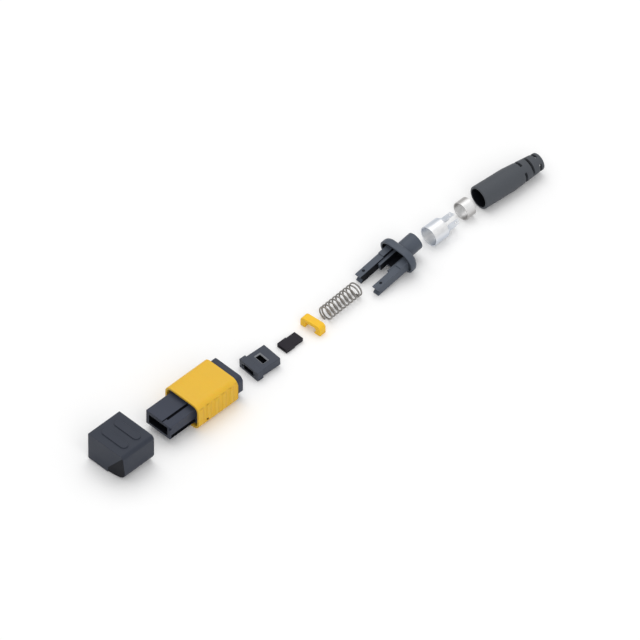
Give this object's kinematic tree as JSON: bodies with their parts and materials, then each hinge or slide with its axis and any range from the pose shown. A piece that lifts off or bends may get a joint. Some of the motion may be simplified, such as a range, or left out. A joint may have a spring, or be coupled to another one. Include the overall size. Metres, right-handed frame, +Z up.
{
  "type": "fibre connector kit",
  "caption": "Push-on multi-fibre optical connector taken apart in a row: cap, keyed housing with sliding sleeve, ferrule, soft insert, clamp, spring, crimp parts and slotted boot.",
  "frame": {"origin": "middle of the outline of the whole row, on the plane that the pieces lie on", "axes": "+Y along the row from the mating end toward the cable end, +Z up, +X toward the side that the picture shows"},
  "size_m": [0.0134, 0.1546, 0.0095],
  "materials": {
    "cap_plastic": "satin dark slate plastic",
    "housing_plastic": "satin dark slate plastic",
    "sleeve_plastic": "satin yellow plastic",
    "ferrule_resin": "glass-filled dark resin",
    "soft_boot": "matt black rubber",
    "clamp_plastic": "satin yellow plastic",
    "spring_steel": "drawn spring wire",
    "body_plastic": "satin dark slate plastic",
    "tube_metal": "bright plated sheet",
    "ring_metal": "bright plated sheet",
    "relief_rubber": "matt dark slate elastomer",
    "small_spring_steel": "drawn spring wire"
  },
  "bodies": {
    "plug_and_kit": {"dust_cap": "cap_plastic", "inner_housing": "housing_plastic", "mt_ferrule": "ferrule_resin", "ferrule_boot": "soft_boot", "pin_clamp": "clamp_plastic", "ferrule_spring": "spring_steel", "crimp_body": "body_plastic", "crimp_tube": "tube_metal", "crimp_ring": "ring_metal", "strain_relief_boot": "relief_rubber", "coupling_spring_left": "small_spring_steel", "coupling_spring_right": "small_spring_steel"},
    "sleeve": {"coupling_sleeve": "sleeve_plastic"}
  },
  "joints": [
    {"name": "sleeve_slide", "type": "slide", "parent": "plug_and_kit", "child": "sleeve", "axis": [0, 1, 0], "range_m": [0, 0.0014], "stiffness_N_per_m": 600, "springref_m": -0.002, "deforming": ["coupling_spring_left", "coupling_spring_right"]}
  ]
}
